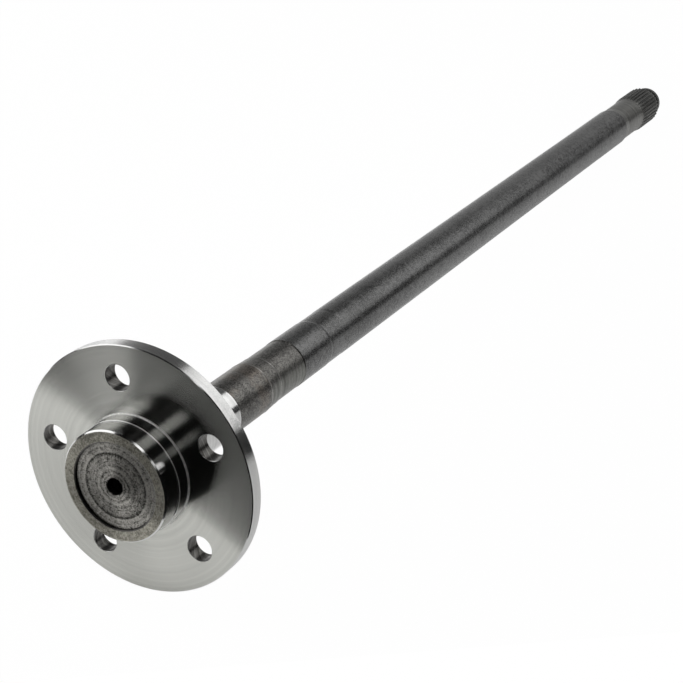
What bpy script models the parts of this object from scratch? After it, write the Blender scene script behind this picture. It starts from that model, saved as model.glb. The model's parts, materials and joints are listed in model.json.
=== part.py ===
"""Axle shaft: one forging with a wheel flange, a pilot boss and a splined end for a clip.

Metres, +Z up. The shaft lies as it comes to rest, on the rim of its flange and on its splines, and
it points along +X. The origin is on the ground, under the middle of its box.

Distances along the shaft are stations: 0 at the flange's wheel face, positive towards the splines.
"""

import math

import bmesh
import bpy
from mathutils import Matrix, Vector

NAME = "axle_shaft"

# Stud holes: the stud circle is the size that a wheel has to match, and the flange follows from it
STUD_COUNT = 5
STUD_CIRCLE = 0.1143
STUD_HOLE_DIAMETER = 0.0160
STUD_HOLE_CHAMFER = 0.00055
STUD_RIM_WALL = 0.01215
FIRST_STUD_ANGLE = math.radians(12.0)

# Wheel flange
FLANGE_DIAMETER = STUD_CIRCLE + STUD_HOLE_DIAMETER + 2 * STUD_RIM_WALL
FLANGE_THICKNESS = 0.0094
FLANGE_FRONT_CHAMFER = 0.0005
FLANGE_BACK_CHAMFER = 0.0008

# Pilot boss: the brake drum centres on its rear step, and the wheel on its front step, which is smaller so
# that the drum slips over it
DRUM_PILOT_DIAMETER = 0.0706
DRUM_PILOT_LENGTH = 0.0092
PILOT_STEP = 0.00065
PILOT_STEP_CHAMFER = 0.0003
PILOT_FILLET = 0.0008
WHEEL_PILOT_DIAMETER = DRUM_PILOT_DIAMETER - 2 * PILOT_STEP
WHEEL_PILOT_LENGTH = 0.0130
WHEEL_PILOT_CHAMFER = 0.0009
PILOT_LENGTH = DRUM_PILOT_LENGTH + WHEEL_PILOT_LENGTH

# Recess in the boss, with a floor that rises to the lathe centre
BOSS_RING_WIDTH = 0.00755
RECESS_DIAMETER = WHEEL_PILOT_DIAMETER - 2 * BOSS_RING_WIDTH
RECESS_DEPTH = 0.0030
RECESS_CHAMFER = 0.0003
RECESS_FLOOR_RISE = 0.0026
RECESS_CORNER = 0.0005
CENTRE_HOLE_DIAMETER = 0.0106
CENTRE_HOLE_DEPTH = 0.0140
CENTRE_HOLE_CHAMFER = 0.0004
DRILL_POINT_ANGLE = math.radians(118.0)

# Inner side of the flange and the ground bearing journal
JOURNAL_DIAMETER = 0.0352
JOURNAL_LENGTH = 0.0681
JOURNAL_CHAMFER = 0.0006
FLANGE_FILLET = 0.0090

# Forged neck behind the journal, with a taper down to the shaft
NECK_STEP = 0.0001
NECK_LENGTH = 0.0389
NECK_TAPER = 0.0140
NECK_DIAMETER = JOURNAL_DIAMETER - 2 * NECK_STEP

# Long shaft, which starts with three turned bands. Each has a length, a cut below the shaft's surface and a
# run-out
SHAFT_DIAMETER = 0.03386
BAND_LENGTHS = (0.0282, 0.0347, 0.0213)
BAND_CUTS = (0.00018, -0.00007, 0.00013)
BAND_RUN_OUTS = (0.0006, 0.0022, 0.0025)
SHAFT_LENGTH = 0.5560

# Splines
TOOTH_COUNT = 33
SPLINE_DIAMETER = 0.0345
TOOTH_HEIGHT = 0.00125
SPLINE_LENGTH = 0.0363
SPLINE_CHAMFER = 0.0011
TOOTH_CREST_WIDTH = 0.0010
GAP_ROOT_WIDTH = 0.0006
FLANK_BULGE = 0.00012
SPLINE_ROOT_DIAMETER = SPLINE_DIAMETER - 2 * TOOTH_HEIGHT

# Relief before the splines, just under their roots, with a hollow shoulder where the hob runs out
ROOT_CLEARANCE = 0.00005
RELIEF_TAPER = 0.0090
RELIEF_LENGTH = 0.0205
SPLINE_SHOULDER = 0.0210
RELIEF_DIAMETER = SPLINE_ROOT_DIAMETER - 2 * ROOT_CLEARANCE

# Clip groove and the button that keeps the clip on: the side gear slides over both
BUTTON_CLEARANCE = 0.0021
BUTTON_DIAMETER = SPLINE_ROOT_DIAMETER - 2 * BUTTON_CLEARANCE
CLIP_LAND = 0.0040
CLIP_GROOVE_DEPTH = 0.0027
CLIP_GROOVE_WIDTH = 0.0055
BUTTON_LENGTH = 0.0049
BUTTON_CHAMFER = 0.0009
TAIL_CENTRE_DIAMETER = 0.0065
TAIL_CENTRE_ANGLE = math.radians(60.0)
TAIL_DRILL_DIAMETER = 0.0032
TAIL_DRILL_DEPTH = 0.0080

# Fineness of the mesh
FACETS_PER_TOOTH = 2
TURNED_STEPS = TOOTH_COUNT * FACETS_PER_TOOTH
STUD_HOLE_STEPS = 24
FILLET_STEPS = 5
SHOULDER_STEPS = 4
CUT_OVERSHOOT = 0.0010
MERGE = 0.00001

HALF_FACET = math.pi / TURNED_STEPS

# Stations along the shaft
JOURNAL_START = FLANGE_THICKNESS + FLANGE_FILLET
JOURNAL_END = JOURNAL_START + JOURNAL_LENGTH
NECK_END = JOURNAL_END + JOURNAL_CHAMFER + NECK_LENGTH
BANDS_START = NECK_END + NECK_TAPER
SHAFT_START = BANDS_START + sum(BAND_LENGTHS) + sum(BAND_RUN_OUTS)
SHAFT_END = SHAFT_START + SHAFT_LENGTH
RELIEF_START = SHAFT_END + RELIEF_TAPER
RELIEF_END = RELIEF_START + RELIEF_LENGTH
SPLINE_START = RELIEF_END + SPLINE_SHOULDER
SPLINE_END = SPLINE_START + SPLINE_LENGTH
GROOVE_START = SPLINE_END + CLIP_LAND
GROOVE_END = GROOVE_START + CLIP_GROOVE_WIDTH
SHAFT_TAIL = GROOVE_END + BUTTON_LENGTH


def clear_scene():
    """Remove every object that the new file came with."""
    for obj in list(bpy.data.objects):
        bpy.data.objects.remove(obj, do_unlink=True)


def new_collection(name):
    """A collection in the scene for the part or for its cutters."""
    collection = bpy.data.collections.new(name)
    bpy.context.scene.collection.children.link(collection)
    return collection


def arc(centre_station, centre_radius, size, start, end, steps):
    """Points on a round stretch of the profile, angles measured from the shaft's outward direction."""
    points = []
    for step in range(steps + 1):
        angle = start + (end - start) * step / steps
        station = centre_station + size * math.sin(angle)
        radius = centre_radius + size * math.cos(angle)
        points.append((station, radius))
    return points


def boss_profile():
    """The lathe centre, the recess and the two pilots, from the axis out to the wheel face."""
    front = -PILOT_LENGTH
    floor_edge = front + RECESS_DEPTH
    floor_centre = floor_edge - RECESS_FLOOR_RISE
    hole_radius = CENTRE_HOLE_DIAMETER / 2
    recess_radius = RECESS_DIAMETER / 2
    wheel_radius = WHEEL_PILOT_DIAMETER / 2
    drum_radius = DRUM_PILOT_DIAMETER / 2
    hole_bottom = floor_centre + CENTRE_HOLE_DEPTH
    drill_point = hole_radius / math.tan(DRILL_POINT_ANGLE / 2)
    points = [
        (hole_bottom + drill_point, 0.0),
        (hole_bottom, hole_radius),
        (floor_centre + CENTRE_HOLE_CHAMFER, hole_radius),
        (floor_centre, hole_radius + CENTRE_HOLE_CHAMFER),
        (floor_edge, recess_radius - RECESS_CORNER),
        (floor_edge - RECESS_CORNER, recess_radius),
        (front + RECESS_CHAMFER, recess_radius),
        (front, recess_radius + RECESS_CHAMFER),
        (front, wheel_radius - WHEEL_PILOT_CHAMFER),
        (front + WHEEL_PILOT_CHAMFER, wheel_radius),
        (-DRUM_PILOT_LENGTH, wheel_radius),
        (-DRUM_PILOT_LENGTH, drum_radius - PILOT_STEP_CHAMFER),
        (-DRUM_PILOT_LENGTH + PILOT_STEP_CHAMFER, drum_radius),
    ]
    fillet_centre = (-PILOT_FILLET, drum_radius + PILOT_FILLET)
    points += arc(*fillet_centre, PILOT_FILLET, math.pi, math.pi / 2, 3)
    return points


def flange_profile():
    """The wheel face's edge, the rim and the inner side with its fillet down to the journal."""
    radius = FLANGE_DIAMETER / 2
    journal_radius = JOURNAL_DIAMETER / 2
    points = [
        (0.0, radius - FLANGE_FRONT_CHAMFER),
        (FLANGE_FRONT_CHAMFER, radius),
        (FLANGE_THICKNESS - FLANGE_BACK_CHAMFER, radius),
        (FLANGE_THICKNESS, radius - FLANGE_BACK_CHAMFER),
    ]
    fillet_centre = (JOURNAL_START, journal_radius + FLANGE_FILLET)
    points += arc(*fillet_centre, FLANGE_FILLET, -math.pi / 2, -math.pi, FILLET_STEPS)
    return points


def neck_profile():
    """The end of the ground journal, the forged neck and its turned bands."""
    journal_radius = JOURNAL_DIAMETER / 2
    neck_radius = NECK_DIAMETER / 2
    points = [
        (JOURNAL_END, journal_radius),
        (JOURNAL_END + JOURNAL_CHAMFER, neck_radius),
        (NECK_END, neck_radius),
    ]
    station = BANDS_START
    for length, depth, run_out in zip(BAND_LENGTHS, BAND_CUTS, BAND_RUN_OUTS):
        radius = SHAFT_DIAMETER / 2 - depth
        points.append((station, radius))
        points.append((station + length, radius))
        station += length + run_out
    points.append((SHAFT_START, SHAFT_DIAMETER / 2))
    return points


def shoulder(start, length, low, high, steps):
    """A hollow shoulder that leaves one radius gently and climbs to the next."""
    points = []
    for step in range(steps + 1):
        share = step / steps
        points.append((start + length * share, low + (high - low) * share**2))
    return points


def spline_end_profile():
    """The relief, the spline blank, the clip groove and the button with its lathe centre."""
    relief_radius = RELIEF_DIAMETER / 2
    spline_radius = SPLINE_DIAMETER / 2
    button_radius = BUTTON_DIAMETER / 2
    groove_radius = button_radius - CLIP_GROOVE_DEPTH
    centre_radius = TAIL_CENTRE_DIAMETER / 2
    drill_radius = TAIL_DRILL_DIAMETER / 2
    cone_depth = (centre_radius - drill_radius) / math.tan(TAIL_CENTRE_ANGLE / 2)
    drill_point = drill_radius / math.tan(DRILL_POINT_ANGLE / 2)
    points = [
        (SHAFT_END, SHAFT_DIAMETER / 2),
        (RELIEF_START, relief_radius),
    ]
    points += shoulder(RELIEF_END, SPLINE_SHOULDER, relief_radius, spline_radius, SHOULDER_STEPS)
    points += [
        (SPLINE_END - SPLINE_CHAMFER, spline_radius),
        (SPLINE_END, spline_radius - SPLINE_CHAMFER),
        (SPLINE_END, button_radius),
        (GROOVE_START, button_radius),
        (GROOVE_START, groove_radius),
        (GROOVE_END, groove_radius),
        (GROOVE_END, button_radius),
        (SHAFT_TAIL - BUTTON_CHAMFER, button_radius),
        (SHAFT_TAIL, button_radius - BUTTON_CHAMFER),
        (SHAFT_TAIL, centre_radius),
        (SHAFT_TAIL - cone_depth, drill_radius),
        (SHAFT_TAIL - TAIL_DRILL_DEPTH, drill_radius),
        (SHAFT_TAIL - TAIL_DRILL_DEPTH - drill_point, 0.0),
    ]
    return points


def turned(name, points, steps, first_angle, collection):
    """A solid of revolution: its profile stands at first_angle and a Screw modifier turns it about Z.

    Stations run down the Z axis, so a profile listed from the boss to the splines runs down its outer side.
    """
    mesh = bpy.data.meshes.new(name)
    direction = Vector((math.cos(first_angle), math.sin(first_angle), 0.0))
    vertices = [direction * radius - Vector((0.0, 0.0, station)) for station, radius in points]
    edges = [(i, i + 1) for i in range(len(points) - 1)]
    mesh.from_pydata(vertices, edges, [])
    obj = bpy.data.objects.new(name, mesh)
    collection.objects.link(obj)
    screw = obj.modifiers.new("Turn", "SCREW")
    screw.steps = steps
    screw.render_steps = steps
    screw.use_merge_vertices = True
    screw.merge_threshold = MERGE
    screw.use_smooth_shade = True
    return obj


def as_cutter(obj):
    """A cutter shows as wires and never renders."""
    obj.display_type = "WIRE"
    obj.hide_render = True
    return obj


def stud_hole_profile():
    """A drill with a countersink at each face of the flange, both carried past the faces."""
    radius = STUD_HOLE_DIAMETER / 2
    flare = STUD_HOLE_CHAMFER + CUT_OVERSHOOT
    return [
        (-CUT_OVERSHOOT, 0.0),
        (-CUT_OVERSHOOT, radius + flare),
        (STUD_HOLE_CHAMFER, radius),
        (FLANGE_THICKNESS - STUD_HOLE_CHAMFER, radius),
        (FLANGE_THICKNESS + CUT_OVERSHOOT, radius + flare),
        (FLANGE_THICKNESS + CUT_OVERSHOOT, 0.0),
    ]


def stud_hole_cutters(collection):
    """One cutter for each stud hole, on the stud circle."""
    cutters = []
    for index in range(STUD_COUNT):
        angle = FIRST_STUD_ANGLE + index * math.tau / STUD_COUNT
        name = f"stud_hole_cutter_{index + 1}"
        cutter = turned(name, stud_hole_profile(), STUD_HOLE_STEPS, 0.0, collection)
        cutter.location = Vector((math.cos(angle), math.sin(angle), 0.0)) * (STUD_CIRCLE / 2)
        cutters.append(as_cutter(cutter))
    return cutters


def gap_outline():
    """The section of one gap between two teeth, as (outward, sideways) points. Its flanks bulge a little."""
    crest_radius = SPLINE_DIAMETER / 2
    root_radius = SPLINE_ROOT_DIAMETER / 2
    middle_radius = (crest_radius + root_radius) / 2
    crest_half = (math.tau * crest_radius / TOOTH_COUNT - TOOTH_CREST_WIDTH) / 2
    root_half = GAP_ROOT_WIDTH / 2
    middle_half = (crest_half + root_half) / 2 - FLANK_BULGE
    slope = (crest_half - middle_half) / (crest_radius - middle_radius)
    outer_half = crest_half + slope * CUT_OVERSHOOT
    one_side = [
        (crest_radius + CUT_OVERSHOOT, outer_half),
        (crest_radius, crest_half),
        (middle_radius, middle_half),
        (root_radius, root_half),
    ]
    other_side = [(outward, -sideways) for outward, sideways in reversed(one_side)]
    return one_side + other_side


def spline_cutter(collection):
    """Every gap between the teeth, hobbed from the hollow of the relief past the end of the splines.

    The gaps are one mesh of separate prisms. A gap faces straight down, so the shaft rests on two teeth.
    """
    start = RELIEF_END - CUT_OVERSHOOT
    end = SPLINE_END + CUT_OVERSHOOT
    work = bmesh.new()
    for index in range(TOOTH_COUNT):
        turn = Matrix.Rotation(math.pi + index * math.tau / TOOTH_COUNT, 4, "Z")
        corners = []
        for outward, sideways in gap_outline():
            corners.append(work.verts.new(turn @ Vector((outward, sideways, -end))))
        section = work.faces.new(corners)
        grown = bmesh.ops.extrude_face_region(work, geom=[section])
        moved = [item for item in grown["geom"] if isinstance(item, bmesh.types.BMVert)]
        bmesh.ops.translate(work, verts=moved, vec=(0.0, 0.0, end - start))
    bmesh.ops.recalc_face_normals(work, faces=work.faces)
    mesh = bpy.data.meshes.new("spline_gap_cutter")
    work.to_mesh(mesh)
    work.free()
    cutter = bpy.data.objects.new("spline_gap_cutter", mesh)
    collection.objects.link(cutter)
    return as_cutter(cutter)


def cut(obj, cutter):
    """Take the cutter's shape out of the object."""
    boolean = obj.modifiers.new(cutter.name, "BOOLEAN")
    boolean.operation = "DIFFERENCE"
    boolean.solver = "EXACT"
    boolean.object = cutter


def steel():
    """Bare machined steel."""
    material = bpy.data.materials.new("steel")
    material.use_nodes = True
    shader = material.node_tree.nodes["Principled BSDF"]
    shader.inputs["Base Color"].default_value = (0.33, 0.33, 0.32, 1.0)
    shader.inputs["Metallic"].default_value = 1.0
    shader.inputs["Roughness"].default_value = 0.38
    return material


def lying_tilt():
    """How far the shaft slopes down when the rim and the teeth both touch the ground.

    The rim rests on a flat facet at the inner edge of the flange, and the splines on the two teeth beside
    the lowest gap, at their outer end.
    """
    rim_station = FLANGE_THICKNESS - FLANGE_BACK_CHAMFER
    rim_drop = FLANGE_DIAMETER / 2 * math.cos(HALF_FACET)
    crest = SPLINE_DIAMETER / 2 * math.cos(HALF_FACET)
    half_pitch = math.pi / TOOTH_COUNT
    tooth_drop = crest * math.cos(half_pitch) + TOOTH_CREST_WIDTH / 2 * math.sin(half_pitch)
    tooth_station = SPLINE_END - SPLINE_CHAMFER
    return math.atan2(rim_drop - tooth_drop, tooth_station - rim_station)


def lay_down(obj, carrier):
    """Turn the shaft to point along +X, slope it to its rest, and set the carrier over the origin."""
    slope = Matrix.Rotation(lying_tilt() - math.pi / 2, 4, "Y")
    bpy.context.view_layer.update()
    evaluated = obj.evaluated_get(bpy.context.evaluated_depsgraph_get())
    corners = [slope @ vertex.co for vertex in evaluated.data.vertices]
    lowest = min(corner.z for corner in corners)
    middle = (min(corner.x for corner in corners) + max(corner.x for corner in corners)) / 2
    carrier.matrix_world = Matrix.Translation((-middle, 0.0, -lowest)) @ slope


def main():
    clear_scene()
    part = new_collection(NAME)
    cutters = new_collection("cutters")
    profile = boss_profile() + flange_profile() + neck_profile() + spline_end_profile()
    shaft = turned(NAME, profile, TURNED_STEPS, HALF_FACET, part)
    shaft.data.materials.append(steel())
    carrier = bpy.data.objects.new("lying_pose", None)
    part.objects.link(carrier)
    shaft.parent = carrier
    for cutter in stud_hole_cutters(cutters) + [spline_cutter(cutters)]:
        cutter.parent = carrier
        cut(shaft, cutter)
    lay_down(shaft, carrier)
    bpy.context.view_layer.update()


main()
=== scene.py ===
# %% [markdown]
# # A rear axle shaft on a pale table
#
# This lesson dresses one forged and machined steel shaft: a wheel flange with its pilot boss at one
# end, and splines with a clip groove at the other. The imported model already holds the part's place and
# main sizes, so the lesson makes a finer surface in the same place and gives each stretch of steel its
# own finish. The finer surface has to stay inside the imported model's box.

# %% Load the imported model
import json
import math

import bmesh
import bpy
from mathutils import Matrix, Vector

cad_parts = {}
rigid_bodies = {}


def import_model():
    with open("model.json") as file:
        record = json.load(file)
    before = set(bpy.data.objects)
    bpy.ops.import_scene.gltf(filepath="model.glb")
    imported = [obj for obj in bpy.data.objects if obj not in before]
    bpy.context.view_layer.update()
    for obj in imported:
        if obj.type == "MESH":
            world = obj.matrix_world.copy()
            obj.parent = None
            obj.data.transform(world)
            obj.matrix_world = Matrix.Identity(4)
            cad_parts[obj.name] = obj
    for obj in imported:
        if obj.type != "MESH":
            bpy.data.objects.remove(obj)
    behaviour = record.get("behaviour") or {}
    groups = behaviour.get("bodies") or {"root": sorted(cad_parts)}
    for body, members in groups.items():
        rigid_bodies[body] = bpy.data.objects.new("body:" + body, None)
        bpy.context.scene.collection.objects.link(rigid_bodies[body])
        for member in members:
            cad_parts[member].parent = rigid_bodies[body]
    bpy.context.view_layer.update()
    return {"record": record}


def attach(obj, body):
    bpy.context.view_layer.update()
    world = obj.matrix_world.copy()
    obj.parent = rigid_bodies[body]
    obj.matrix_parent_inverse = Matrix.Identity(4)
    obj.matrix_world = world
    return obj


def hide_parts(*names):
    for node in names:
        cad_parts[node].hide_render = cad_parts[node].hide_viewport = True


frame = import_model()

# %% [markdown]
# ## How the shaft lies
#
# The real shaft can't stand up, so it lies on its flange's rim and on two of its spline teeth. Its own
# axis then slopes down a little towards the splines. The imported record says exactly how: the wheel
# face's mount carries that face's normal, and its point lies midway between the first two stud holes.
# Building along a straight axis and laying the finished mesh down at the end keeps every profile
# simple, and it lets the finishes use the shaft's own coordinates.

# %% Read the pose from the record
MM = 0.001
STUD_COUNT = 5
STUD_CIRCLE_RADIUS = 57.15
STUD_SPACING = 360.0 / STUD_COUNT
FIRST_STUD = 12.0

wheel_face = next(m for m in frame["record"]["mounts"] if m["name"] == "wheel_face")
face_normal = Vector(wheel_face["axis"]).normalized()
face_point = Vector(wheel_face["pos_m"])
slope = math.atan2(face_normal.z, -face_normal.x)
turn_down = Matrix.Rotation(slope - math.pi / 2, 4, "Y")

mount_angle = math.radians(FIRST_STUD + STUD_SPACING / 2)
mount_direction = Vector((math.cos(mount_angle), math.sin(mount_angle), 0.0))
mount_offset = mount_direction * (STUD_CIRCLE_RADIUS * MM)
face_centre = face_point - turn_down.to_3x3() @ mount_offset
lying = Matrix.Translation(face_centre) @ turn_down
shaft_axis = -face_normal
print("Slope:", round(math.degrees(slope), 3), "degrees")
print("Wheel face centre:", [round(v, 5) for v in face_centre])

# %% [markdown]
# ## The turned profile
#
# A lathe makes almost all of this part, so almost all of it is one profile turned about the axis. Each
# row is a station along the shaft and a radius there, in millimetres, the name of the finish that runs
# from that point to the next, and whether the surface runs on smoothly there. Stations count from the
# wheel face, positive towards the splines. A Screw modifier could turn the profile, but rings made in
# a loop let the same rings carry the spline teeth and the finish of each band.

# %% Name the finishes and the two kinds of profile row
FINISHES = (
    "turned_face",
    "turned_side",
    "rim",
    "bright_edge",
    "soft_edge",
    "boss_end",
    "boss_recess",
    "bore_painted_shade",
    "flange_back",
    "journal",
    "neck_scale",
    "neck_turned",
    "worn_edge",
    "band_turned",
    "shaft_black",
    "relief",
    "splines",
)
FINISH_NUMBER = {name: number for number, name in enumerate(FINISHES)}


def straight(station, radius, finish):
    """One row where the surface turns a corner."""
    return (station, radius, finish, False)


def smooth(station, radius, finish):
    """One row where the surface runs on without a corner."""
    return (station, radius, finish, True)


def arc_rows(station, radius, size, start, end, steps, finish):
    """Rows along a round stretch. Angles are measured from the outward direction, in degrees."""
    rows = []
    for step in range(steps + 1):
        angle = math.radians(start + (end - start) * step / steps)
        row = smooth if 0 < step < steps else straight
        rows.append(row(station + size * math.sin(angle), radius + size * math.cos(angle), finish))
    return rows


print("Finishes:", len(FINISHES))

# %% [markdown]
# ## The recess in the boss
#
# The end of the boss has a shallow recess. Its floor rises to the lathe centre, the hole that held the
# shaft while it was turned, and the tool has left coarse rings on it. Each ring is a pair of rows, one
# a little high and one a little low, because rings this coarse show as relief.
# The wall and its edge take the very dark finish of the bores, a painted shade that draws them as a dark
# line.

# %% Profile of the lathe centre and the recess
CENTRE_RADIUS = 5.3
RECESS_RADIUS = 27.1
RECESS_FLOOR = -20.65
BOSS_END = -22.19
RING_ROWS = 11
RING_SPACING = 0.5
RING_HEIGHT = 0.04
RINGS_STATION = -21.1
RINGS_RADIUS = 13.25
FLOOR_FALL = 0.024

# The lathe centre's hole takes the bores' painted shade.
boss_rows = [
    straight(-4.62, 0.0, "bore_painted_shade"),
    straight(-7.8, CENTRE_RADIUS, "bore_painted_shade"),
    straight(-21.4, CENTRE_RADIUS, "boss_recess"),
    straight(-21.8, CENTRE_RADIUS + 0.4, "boss_recess"),
    straight(RINGS_STATION, 13.0, "boss_recess"),
]
for step in range(RING_ROWS):
    ridge = RING_HEIGHT if step % 2 else -RING_HEIGHT
    ring_station = RINGS_STATION + FLOOR_FALL * step + ridge
    boss_rows.append(smooth(ring_station, RINGS_RADIUS + RING_SPACING * step, "boss_recess"))
# The recess's outer floor, its wall and its edge take the bores' painted shade.
boss_rows += [
    straight(-20.75, 21.5, "boss_recess"),
    straight(RECESS_FLOOR, 26.7, "bore_painted_shade"),
    straight(RECESS_FLOOR, RECESS_RADIUS, "bore_painted_shade"),
    straight(-21.85, RECESS_RADIUS, "bore_painted_shade"),
    straight(-22.05, 27.7, "bore_painted_shade"),
    straight(BOSS_END, 27.75, "boss_end"),
]
print("Rows of the recess:", len(boss_rows))

# %% [markdown]
# ## The boss
#
# The boss carries the drum on its rear step and the wheel on its slightly smaller front step, so that
# the drum slips over the front one. The chamfers and the round at the root are narrow, but they catch
# the light as thin lines, so they are modelled. The step's edge and the root's round also get a pale
# finish, a painted highlight that draws those lines.

# %% Profile of the boss, from its end to the wheel face
WHEEL_PILOT_RADIUS = 34.65
DRUM_PILOT_RADIUS = 35.3
DRUM_STEP = -9.2
FRONT_EDGE = 0.9
STEP_EDGE = 0.32
ROOT_ROUND = 0.8

# The step's edge and the root's round below take the painted highlight finish.
boss_rows += [
    straight(BOSS_END, WHEEL_PILOT_RADIUS - FRONT_EDGE, "bright_edge"),
    straight(-21.3, WHEEL_PILOT_RADIUS, "turned_side"),
    straight(DRUM_STEP, WHEEL_PILOT_RADIUS, "turned_side"),
    straight(DRUM_STEP, DRUM_PILOT_RADIUS - STEP_EDGE, "soft_edge"),
    straight(DRUM_STEP + STEP_EDGE, DRUM_PILOT_RADIUS, "turned_side"),
]
root_radius = DRUM_PILOT_RADIUS + ROOT_ROUND
boss_rows += arc_rows(-ROOT_ROUND, root_radius, ROOT_ROUND, 180.0, 90.0, 6, "soft_edge")
boss_rows[-1] = straight(0.0, root_radius, "turned_face")
print("Rows of the whole boss:", len(boss_rows))

# %% [markdown]
# ## The flange and the journal
#
# The wheel bolts to the flat face. Behind the rim the flange runs into a hollow fillet, and that into
# the ground journal that the bearing and the seal run on. Fourteen steps are enough for the fillet to
# look round.

# %% Profile of the flange and the journal
RIM_RADIUS = 77.21
RIM_FRONT_EDGE = 0.5
RIM_BACK_EDGE = 0.8
FLANGE_THICKNESS = 9.4
BACK_FILLET = 9.0
JOURNAL_RADIUS = 17.6

flange_rows = [
    straight(0.0, RIM_RADIUS - RIM_FRONT_EDGE, "bright_edge"),
    straight(RIM_FRONT_EDGE, RIM_RADIUS, "rim"),
    straight(FLANGE_THICKNESS - RIM_BACK_EDGE, RIM_RADIUS, "bright_edge"),
    straight(FLANGE_THICKNESS, RIM_RADIUS - RIM_BACK_EDGE, "flange_back"),
]
fillet_end = FLANGE_THICKNESS + BACK_FILLET
flange_rows += arc_rows(
    fillet_end, JOURNAL_RADIUS + BACK_FILLET, BACK_FILLET, -90.0, -180.0, 14, "flange_back"
)
flange_rows[-1] = straight(fillet_end, JOURNAL_RADIUS, "journal")
print("Rows of the flange:", len(flange_rows))

# %% [markdown]
# ## The neck
#
# Behind the journal comes the raw forging, which then tapers down to a band that a light cut has partly
# cleaned. Two low ridges are left, one at the end of the raw stretch and one in the taper. They are
# rubbed bright, so they get rows and a finish of their own, and the tool's last pass has left a narrow
# groove before the next band.

# %% Profile of the neck
NECK_RADIUS = 17.40
FIRST_BAND_RADIUS = 16.62

neck_rows = [
    straight(86.5, JOURNAL_RADIUS, "neck_scale"),
    straight(87.1, 17.42, "neck_scale"),
    straight(124.3, NECK_RADIUS, "worn_edge"),
    straight(124.8, NECK_RADIUS + 0.16, "worn_edge"),
    straight(125.4, NECK_RADIUS, "neck_scale"),
    straight(126.0, 17.38, "neck_turned"),
    straight(137.0, 16.78, "worn_edge"),
    straight(137.4, 16.90, "worn_edge"),
    straight(137.9, 16.72, "neck_turned"),
    straight(140.0, FIRST_BAND_RADIUS, "neck_turned"),
    straight(167.7, FIRST_BAND_RADIUS, "neck_turned"),
    straight(168.1, FIRST_BAND_RADIUS - 0.20, "neck_turned"),
]
print("Rows of the neck:", len(neck_rows))

# %% [markdown]
# ## The long shaft
#
# Two more turned bands lead to the plain black shaft. It is the forging's own surface, so its radius
# wanders by two tenths of a millimetre, and its rows are smooth ones. A straight cylinder would look
# drawn beside the photograph.

# %% Profile of the bands and the long shaft
SECOND_BAND_RADIUS = 16.93
THIRD_BAND_RADIUS = 16.68
SHAFT_RADIUS = 16.86

shaft_rows = [
    straight(168.8, SECOND_BAND_RADIUS, "band_turned"),
    straight(203.5, SECOND_BAND_RADIUS, "band_turned"),
    straight(205.7, THIRD_BAND_RADIUS, "band_turned"),
    straight(227.0, THIRD_BAND_RADIUS, "band_turned"),
    straight(229.5, SHAFT_RADIUS, "band_turned"),
    straight(290.0, SHAFT_RADIUS, "shaft_black"),
    smooth(390.0, 16.80, "shaft_black"),
    smooth(490.0, 16.68, "shaft_black"),
    smooth(600.0, 16.66, "shaft_black"),
    smooth(700.0, 16.70, "shaft_black"),
    smooth(760.0, 16.85, "shaft_black"),
]
print("Rows of the long shaft:", len(shaft_rows))

# %% [markdown]
# ## The relief and its shoulder
#
# Near the far end a relief lets the hob run out of the spline gaps. Its hollow shoulder climbs to the
# tips of the teeth along a power curve, which leaves the relief gently and arrives steeply, as the path
# of a round cutter does. The gaps fade out on this shoulder, so it needs close rows.

# %% Profile of the relief
RELIEF_RADIUS = 15.92
TOOTH_TIP = 17.235
SHOULDER_START = 825.0
SHOULDER_LENGTH = 13.0
SHOULDER_ROWS = 9
SHOULDER_BEND = 1.6
HOBBED_FROM = 0.4

relief_rows = [
    straight(783.0, SHAFT_RADIUS, "relief"),
    straight(792.5, 15.85, "relief"),
    smooth(815.0, RELIEF_RADIUS, "relief"),
]
for step in range(SHOULDER_ROWS):
    share = step / SHOULDER_ROWS
    shoulder_radius = RELIEF_RADIUS + (TOOTH_TIP - RELIEF_RADIUS) * share**SHOULDER_BEND
    finish = "relief" if share < HOBBED_FROM else "splines"
    relief_rows.append(smooth(SHOULDER_START + SHOULDER_LENGTH * share, shoulder_radius, finish))
print("Rows of the relief:", len(relief_rows))

# %% [markdown]
# ## The splined end
#
# After the splines come a short land, the groove for the clip that keeps the shaft in its gear, and a
# button with the other lathe centre. They are plain corners of the profile. The teeth themselves come
# with the rings, further down.

# %% Profile of the splined end
SPLINE_END = 872.3
BUTTON_RADIUS = 13.9
CLIP_GROOVE_RADIUS = 11.2
CLIP_GROOVE = (876.3, 881.8)
SHAFT_TAIL = 886.69
TAIL_CENTRE_RADIUS = 3.25
TAIL_DRILL_RADIUS = 1.6

# The tail's lathe centre and its drill take the bores' painted shade.
tail_rows = [
    straight(SHOULDER_START + SHOULDER_LENGTH, TOOTH_TIP, "splines"),
    straight(871.2, TOOTH_TIP, "splines"),
    straight(SPLINE_END, 16.15, "splines"),
    straight(SPLINE_END, BUTTON_RADIUS, "splines"),
    straight(CLIP_GROOVE[0], BUTTON_RADIUS, "splines"),
    straight(CLIP_GROOVE[0], CLIP_GROOVE_RADIUS, "splines"),
    straight(CLIP_GROOVE[1], CLIP_GROOVE_RADIUS, "splines"),
    straight(CLIP_GROOVE[1], BUTTON_RADIUS, "splines"),
    straight(885.8, BUTTON_RADIUS, "splines"),
    straight(SHAFT_TAIL, 13.0, "splines"),
    straight(SHAFT_TAIL, TAIL_CENTRE_RADIUS, "bore_painted_shade"),
    straight(883.84, TAIL_DRILL_RADIUS, "bore_painted_shade"),
    straight(878.7, TAIL_DRILL_RADIUS, "bore_painted_shade"),
    straight(877.74, 0.0, "bore_painted_shade"),
]
profile = boss_rows + flange_rows + neck_rows + shaft_rows + relief_rows + tail_rows
print("Rows of the whole profile:", len(profile))

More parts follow.
